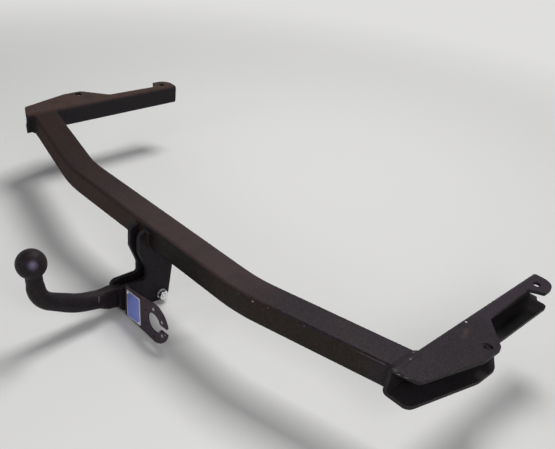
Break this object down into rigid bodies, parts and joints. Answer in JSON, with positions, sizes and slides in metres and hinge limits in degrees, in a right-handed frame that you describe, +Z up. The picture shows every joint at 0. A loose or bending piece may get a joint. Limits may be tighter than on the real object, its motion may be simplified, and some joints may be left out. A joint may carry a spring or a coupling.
{
  "type": "trailer hitch",
  "caption": "Fixed tow bar with a bent box-section cross tube, folded channel arms, welded neck plates, a bolted swan neck with a tow ball, and a slotted socket plate.",
  "frame": {"origin": "centre of the tow ball", "axes": "+Y ahead to the vehicle, +Z up and square to the arms' flanges, +X to the side with the socket plate"},
  "size_m": [1.1894, 0.6915, 0.189],
  "materials": {
    "black_coating": "satin black powder coat, slightly dusty and worn at the edges",
    "coated_weld": "weld bead under the same black powder coat",
    "zinc_plate": "bright zinc plating",
    "type_plate": "aluminium plate with a plain blue field and a bare metal border",
    "rivet_aluminium": "bare aluminium"
  },
  "bodies": {
    "root": {"cross_tube": "black_coating", "left_arm": "black_coating", "right_arm": "black_coating", "left_neck_plate": "black_coating", "right_neck_plate": "black_coating", "tow_neck": "black_coating", "socket_plate": "black_coating", "left_arm_weld": "coated_weld", "right_arm_weld": "coated_weld", "left_plate_weld": "coated_weld", "right_plate_weld": "coated_weld", "front_neck_bolt": "zinc_plate", "front_neck_nut": "zinc_plate", "front_head_washer": "zinc_plate", "front_nut_washer": "zinc_plate", "rear_neck_bolt": "zinc_plate", "rear_neck_nut": "zinc_plate", "rear_head_washer": "zinc_plate", "rear_nut_washer": "zinc_plate", "type_plate": "type_plate", "type_plate_rivets": "rivet_aluminium"}
  },
  "joints": []
}
